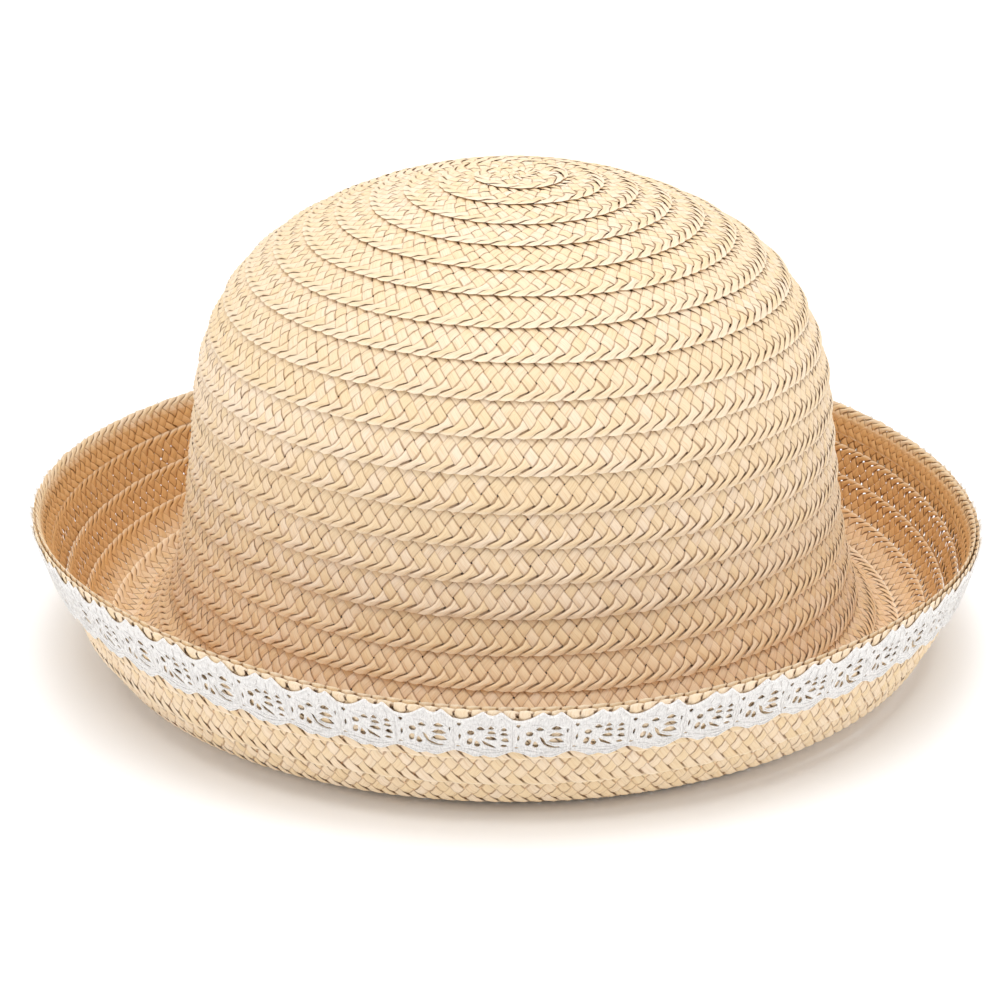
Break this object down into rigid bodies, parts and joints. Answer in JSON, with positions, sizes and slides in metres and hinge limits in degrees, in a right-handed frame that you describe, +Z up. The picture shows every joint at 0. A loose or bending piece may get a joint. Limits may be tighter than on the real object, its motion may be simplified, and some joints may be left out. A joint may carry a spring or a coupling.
{
  "type": "straw hat",
  "caption": "Child's straw hat sewn from flat braid, with a round crown, a rolled-up brim and a white lace trim round the rim.",
  "frame": {"origin": "middle of the box round the hat, on the surface that it stands on", "axes": "+Z up from the brim to the crown's tip, -Y towards the hat's front, +X to the right as the front is seen"},
  "size_m": [0.246, 0.2458, 0.1225],
  "materials": {
    "straw_braid": "matt natural straw with a slight sheen",
    "cotton_lace": "matt white crocheted cotton"
  },
  "bodies": {
    "root": {"crown_tip": "straw_braid", "crown_side": "straw_braid", "brim_floor": "straw_braid", "brim_wall": "straw_braid", "brim_edge": "straw_braid", "lace_trim": "cotton_lace"}
  },
  "joints": []
}
